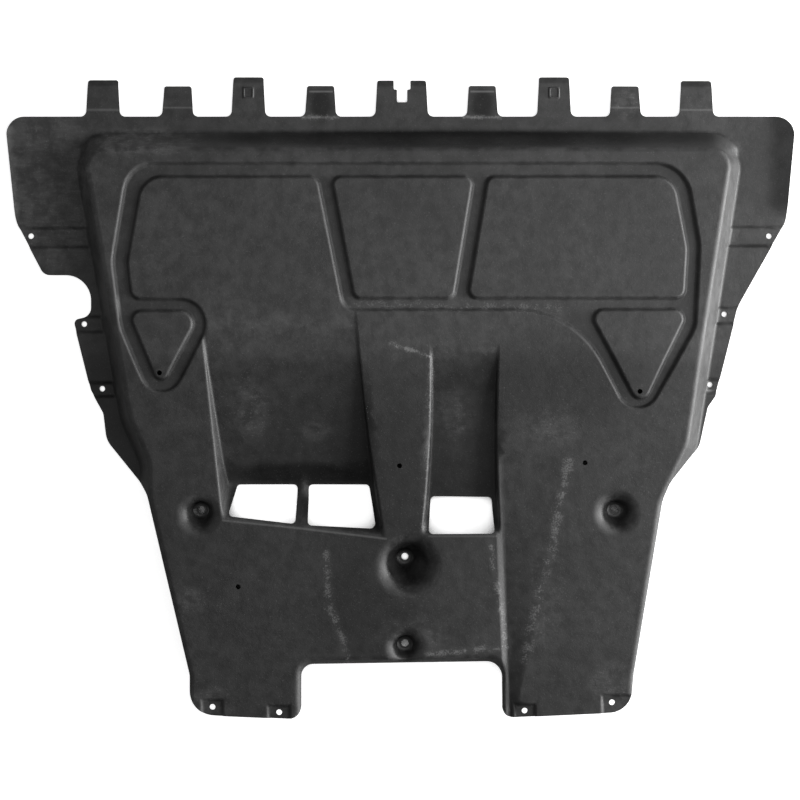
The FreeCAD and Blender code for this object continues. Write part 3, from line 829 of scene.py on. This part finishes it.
def make_mesh():
    """The sheet: its road side, its engine side and the rims that join them."""
    vertices, faces, rims, normals, worn_and_highlit = [], [], [], [], []
    for depth in (0.0, WALL):
        points, triangles, loops = make_side(depth)
        place = Place(points)
        height = place.level(depth)
        direction = facing(points, height)
        crests = place.crests(height)
        edge = np.zeros(len(points), bool)
        edge[[index for loop in loops for index in loop]] = True
        height = height + np.where(edge, EDGE if depth else -EDGE, 0)
        used = np.unique(np.concatenate([triangles.ravel(), *map(np.array, loops)]))
        renumber = np.full(len(points), -1)
        renumber[used] = np.arange(len(used)) + len(vertices)
        vertices += [(x * MM, y * MM, z * MM) for (x, y), z in zip(points[used], height[used])]
        normals += (direction if not depth else -direction)[used].tolist()
        worn_and_highlit += crests[used].tolist()
        turned = renumber[triangles]
        faces += [tuple(face[::-1]) if depth else tuple(face) for face in turned.tolist()]
        rims.append([[int(renumber[index]) for index in loop] for loop in loops])
    for road, engine in zip(*rims):
        count = len(road)
        area = sum(vertices[road[k]][0] * vertices[road[(k + 1) % count]][1]
                   - vertices[road[(k + 1) % count]][0] * vertices[road[k]][1]
                   for k in range(count))
        outer = road is rims[0][0]
        forward = (area > 0) == outer
        for k in range(count):
            after = (k + 1) % count
            quad = (road[k], engine[k], engine[after], road[after])
            faces.append(quad if forward else quad[::-1])
    mesh = bpy.data.meshes.new("formed_sheet")
    mesh.from_pydata(vertices, [], faces)
    mesh.update()
    for face in mesh.polygons:
        face.use_smooth = True
    mesh.normals_split_custom_set_from_vertices(normals)
    crest = mesh.attributes.new("crest", "FLOAT", "POINT")
    crest.data.foreach_set("value", worn_and_highlit)
    return mesh


class Shader:
    """Short ways to add the nodes of one material."""

    def __init__(self, name):
        self.material = bpy.data.materials.new(name)
        self.material.use_nodes = True
        self.tree = self.material.node_tree
        self.surface = self.tree.nodes["Principled BSDF"]
        self.output = self.tree.nodes["Material Output"]

    def add(self, kind, inputs, **settings):
        """Node with its settings, and its inputs linked or set."""
        node = self.tree.nodes.new("ShaderNode" + kind)
        for word, value in settings.items():
            setattr(node, word, value)
        for key, value in inputs.items():
            self.feed(node.inputs[key], value)
        return node

    def feed(self, socket, value):
        if isinstance(value, bpy.types.NodeSocket):
            self.tree.links.new(value, socket)
        else:
            socket.default_value = value

    def math(self, operation, a, b=0.0, clamp=False):
        return self.add("Math", {0: a, 1: b}, operation=operation, use_clamp=clamp).outputs[0]

    def vector(self, operation, a, b=(0, 0, 0), output=0):
        return self.add("VectorMath", {0: a, 1: b}, operation=operation).outputs[output]

    def fade(self, value, low_end, high_end, low_value=0.0, high_value=1.0):
        """Value brought smoothly from one range to another."""
        return self.add("MapRange", {0: value, 1: low_end, 2: high_end, 3: low_value,
                                     4: high_value}, interpolation_type="SMOOTHSTEP").outputs[0]

    def noise(self, place, scale, detail=4.0, roughness=0.6):
        """Cloudy pattern with a size in millimetres."""
        return self.add("TexNoise", {"Vector": place, "Scale": 1 / (scale * MM),
                                     "Detail": detail, "Roughness": roughness}).outputs[0]

    def stroke(self, place, points, width):
        """Mask along a line of points, 1 in its middle and 0 at its width."""
        gaps = []
        for start, end in zip(points, points[1:]):
            along = Vector(((end[0] - start[0]) * MM, (end[1] - start[1]) * MM, 0))
            gap = self.vector("SUBTRACT", place, (start[0] * MM, start[1] * MM, 0))
            share = self.vector("DOT_PRODUCT", gap, along / along.length_squared, 1)
            share = self.math("ADD", share, 0.0, True)
            part = self.add("VectorMath", {0: along, "Scale": share}, operation="SCALE")
            near = self.vector("SUBTRACT", gap, part.outputs[0])
            gaps.append(self.vector("LENGTH", near, output=1))
        nearest = gaps[0]
        for gap in gaps[1:]:
            nearest = self.math("MINIMUM", nearest, gap)
        return self.fade(nearest, 0.0, width * MM, 1.0, 0.0)

    def strokes(self, place, strokes, widen):
        """The strongest of several strokes at each place."""
        most = 0.0
        for strength, width, points in strokes:
            stroke = self.math("MULTIPLY", self.stroke(place, points, width * widen), strength)
            most = self.math("MAXIMUM", most, stroke)
        return most

    def patch(self, place, x, y, half_x, half_y):
        """Mask over a soft oval."""
        gap = self.vector("SUBTRACT", place, (x * MM, y * MM, 0))
        gap = self.vector("MULTIPLY", gap, (1000 / half_x, 1000 / half_y, 0))
        return self.fade(self.vector("LENGTH", gap, output=1), 0.45, 1.0, 1.0, 0.0)

    def patches(self, place, patches):
        """The strongest of several patches at each place."""
        most = 0.0
        for strength, *oval in patches:
            patch = self.math("MULTIPLY", self.patch(place, *oval), strength)
            most = self.math("MAXIMUM", most, patch)
        return most


def black_plastic():
    """Black moulded plastic, a little dusty, with worn crests and the scuffs of its use, and painted
    light and shade: a painted highlight on the crests, lighter and darker patches, and a darker part
    behind the front of the ducts.
    """
    shader = Shader("black_plastic")
    place = shader.add("TexCoord", {}).outputs["Object"]
    flat = shader.vector("MULTIPLY", place, (1, 1, 0))
    # Patterns
    mottle = shader.noise(place, MOTTLE, 5, 0.62)
    clouds = shader.noise(place, CLOUDS, 3, 0.5)
    grain = shader.noise(place, GRAIN, 2, 0.6)
    specks = shader.noise(place, SPECKS, 3, 0.7)
    breaks = shader.fade(shader.noise(place, BREAKS, 2, 0.6), 0.38, 0.6, -0.12, 0.08)
    stretched = shader.vector("MULTIPLY", place, (0.2, 1.0, 1.0))
    streaks = shader.noise(stretched, STREAKS, 4, 0.75)
    dots = shader.fade(shader.noise(place, DOTS, 1, 0.5), 0.65, 0.74)
    # Worn folds lightened as wear and painted highlight, rubbed patches with some patches of painted
    # light, and scuffs that break up into specks
    crest = shader.add("Attribute", {}, attribute_name="crest").outputs["Fac"]
    # Wear and painted highlight: convex crests are lightened
    worn_and_highlit = shader.math("MULTIPLY", shader.fade(crest, 0.25, 1.0), shader.fade(mottle, 0.35, 0.7))
    scuffs = shader.strokes(flat, STROKES, STROKE_SPREAD)
    lines = shader.math("ADD", shader.strokes(flat, LINES, 1.0),
                        shader.math("MULTIPLY", worn_and_highlit, 0.12))
    # Rubbed patches and patches of painted light, which also bring specks
    rubbed_and_lit = shader.patches(flat, RUBBED_AND_LIT_PATCHES)
    rubbed_and_lit = shader.math("MULTIPLY", rubbed_and_lit, shader.fade(mottle, 0.38, 0.58, 0.35, 1.0))
    scuffs = shader.math("MAXIMUM", scuffs, shader.math("MULTIPLY", rubbed_and_lit, 0.24))
    threshold = shader.math("ADD", shader.math("ADD", specks, breaks),
                            shader.math("MULTIPLY", scuffs, 0.26))
    soft = shader.math("MULTIPLY", scuffs, 0.12)
    scuffs = shader.math("MULTIPLY", scuffs, shader.fade(threshold, 0.6, 0.76))
    scuffs = shader.math("ADD", scuffs, soft)
    rubbed_and_lit = shader.math("MULTIPLY", rubbed_and_lit, shader.fade(streaks, 0.35, 0.65, 0.3, 1.0))
    # Colour, lighter where dust lies, darker in patches of painted shade, and lighter ahead of a line
    # across the front of the ducts with the part behind it darker as painted shade
    dust = shader.math("MULTIPLY", shader.fade(mottle, 0.32, 0.68, 0.3, 1.3), DUST)
    dust = shader.math("MULTIPLY", dust, shader.fade(clouds, 0.3, 0.7, 0.7, 1.3))
    # Painted shade: the colour is darkened over these patches further down
    painted_shade = shader.patches(flat, PAINTED_SHADE_PATCHES)
    colour = shader.math("ADD", PLASTIC, dust)
    # Lighter in the rubbed patches, and painted light in the lit ones
    colour = shader.math("ADD", colour, shader.math("MULTIPLY", rubbed_and_lit, RUBBED_AND_LIT))
    colour = shader.math("MULTIPLY", colour, shader.math("SUBTRACT", 1.0, painted_shade))
    # Painted shade: the sheet is darker behind a line across the front part of the ducts and lighter
    # ahead of it
    forward = shader.vector("DOT_PRODUCT", place, (0, 1, 0), 1)
    colour = shader.math("MULTIPLY", colour, shader.fade(forward, 0.03, 0.06, 0.72, 1.16))
    colour = shader.math("ADD", colour, shader.math("MULTIPLY", dots, DOTTED))
    colour = shader.math("ADD", colour, shader.math("MULTIPLY", scuffs, SCUFFED))
    colour = shader.math("ADD", colour, shader.math("MULTIPLY", lines, LINED))
    grey = shader.add("CombineColor", {0: colour, 1: colour, 2: colour}).outputs[0]
    shader.feed(shader.surface.inputs["Base Color"], grey)
    # Finish, smoother in the funnels
    rough = shader.fade(mottle, 0.3, 0.7, 0.54, 0.66)
    rough = shader.math("ADD", rough, shader.math("MULTIPLY", scuffs, 0.15))
    for x, y, radius, *_ in FUNNELS:
        smooth = shader.patch(flat, x, y, radius + 4, radius + 4)
        rough = shader.math("SUBTRACT", rough, shader.math("MULTIPLY", smooth, FUNNEL_SHEEN))
    shader.feed(shader.surface.inputs["Roughness"], rough)
    bump = shader.add("Bump", {"Height": shader.math("ADD", grain,
                                                     shader.math("MULTIPLY", mottle, 5.0)),
                               "Distance": 0.0003, "Strength": 0.38})
    shader.feed(shader.surface.inputs["Normal"], bump.outputs[0])
    return shader.material


def make_shield():
    mesh = make_mesh()
    shield = bpy.data.objects.new("formed_shield", mesh)
    bpy.context.scene.collection.objects.link(shield)
    mesh.materials.append(black_plastic())
    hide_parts("splash_shield")
    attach(shield, "root")
    return shield


def make_floor():
    """White floor that glows for the camera where nothing covers it, and keeps the shadow; where the
    sheet covers it, its colour is painted near black as painted shade.
    """
    bpy.ops.mesh.primitive_plane_add(size=FLOOR_SIZE, location=(0, 0, -FLOOR_DROP))
    floor = bpy.context.object
    floor.name = "floor"
    shader = Shader("white_floor")
    shader.surface.inputs["Roughness"].default_value = 0.9
    openness = shader.add("AmbientOcclusion", {"Distance": 1.0}, samples=16).outputs["AO"]
    glow = shader.fade(openness, COVERED, OPEN, 0.0, FLOOR_GLOW)
    # Painted shade: the floor's colour goes near black where the sheet covers it
    white_with_painted_shade = shader.fade(openness, COVERED, OPEN, 0.005, FLOOR_WHITE)
    shader.feed(shader.surface.inputs["Base Color"],
                shader.add("CombineColor", {0: white_with_painted_shade, 1: white_with_painted_shade, 2: white_with_painted_shade}).outputs[0])
    light = shader.add("Emission", {"Color": (1, 1, 1, 1), "Strength": glow})
    both = shader.add("AddShader", {0: shader.surface.outputs[0], 1: light.outputs[0]})
    path = shader.add("LightPath", {})
    seen = shader.add("MixShader", {0: path.outputs["Is Camera Ray"],
                                    1: shader.surface.outputs[0], 2: both.outputs[0]})
    shader.tree.links.new(seen.outputs[0], shader.output.inputs[0])
    floor.data.materials.append(shader.material)


def add_area(name, place, size, power, target):
    data = bpy.data.lights.new(name, "AREA")
    data.shape = "RECTANGLE"
    data.size, data.size_y = size
    data.energy = power
    lamp = bpy.data.objects.new(name, data)
    lamp.location = place
    lamp.rotation_mode = "QUATERNION"
    lamp.rotation_quaternion = (Vector(target) - Vector(place)).to_track_quat("-Z", "Y")
    bpy.context.scene.collection.objects.link(lamp)


def make_lights():
    """Soft light from above, low bright light from the right, a little from the left."""
    world = bpy.data.worlds.new("studio")
    bpy.context.scene.world = world
    world.use_nodes = True
    nodes = world.node_tree.nodes
    nodes["Background"].inputs["Color"].default_value = (1, 1, 1, 1)
    path = nodes.new("ShaderNodeLightPath")
    strength = nodes.new("ShaderNodeMapRange")
    strength.inputs["To Min"].default_value = AMBIENT
    strength.inputs["To Max"].default_value = 1.0
    world.node_tree.links.new(path.outputs["Is Camera Ray"], strength.inputs["Value"])
    world.node_tree.links.new(strength.outputs[0], nodes["Background"].inputs["Strength"])
    for lamp in LAMPS:
        add_area(*lamp)


def make_camera():
    data = bpy.data.cameras.new("camera")
    data.sensor_fit = "HORIZONTAL"
    data.angle = 2 * math.atan(FRAME_WIDTH / 2 / CAMERA_HEIGHT)
    data.clip_end = 20
    camera = bpy.data.objects.new("camera", data)
    camera.location = (0, CAMERA_Y, CAMERA_HEIGHT)
    bpy.context.scene.collection.objects.link(camera)
    bpy.context.scene.camera = camera


make_camera()
make_lights()
make_floor()
make_shield()
bpy.context.scene.view_settings.view_transform = "Standard"
